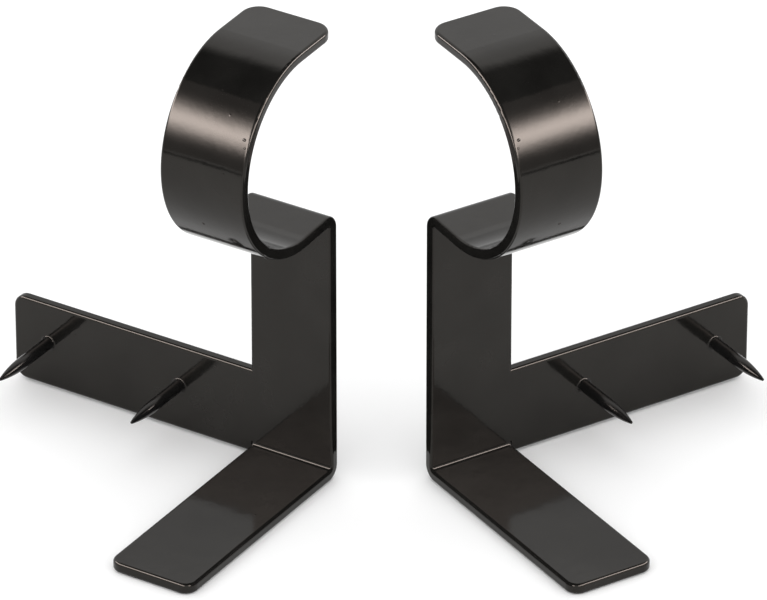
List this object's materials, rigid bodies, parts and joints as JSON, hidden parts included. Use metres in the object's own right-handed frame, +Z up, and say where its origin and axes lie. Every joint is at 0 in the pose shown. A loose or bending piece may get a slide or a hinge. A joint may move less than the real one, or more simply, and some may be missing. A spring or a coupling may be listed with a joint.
{
  "type": "curtain rod bracket pair",
  "caption": "Handed pair of tap-in curtain rod brackets: each a bent flat steel strap with an open round cradle, a foot, and a side arm with spikes.",
  "frame": {"origin": "the middle of the pair's box on the plane that the feet stand on", "axes": "+Z up along the uprights, +X to the right-hand bracket, the pair mirrored in X = 0, and the feet and cradles towards -Y"},
  "size_m": [0.2004, 0.1108, 0.1326],
  "materials": {
    "coated_strap": "gloss black powder coat",
    "coated_spike": "gloss black coat over steel"
  },
  "bodies": {
    "root": {"left_strap": "coated_strap", "left_outer_spike": "coated_spike", "left_inner_spike": "coated_spike", "left_outer_weld": "coated_spike", "left_inner_weld": "coated_spike", "right_strap": "coated_strap", "right_outer_spike": "coated_spike", "right_inner_spike": "coated_spike", "right_outer_weld": "coated_spike", "right_inner_weld": "coated_spike"}
  },
  "joints": []
}
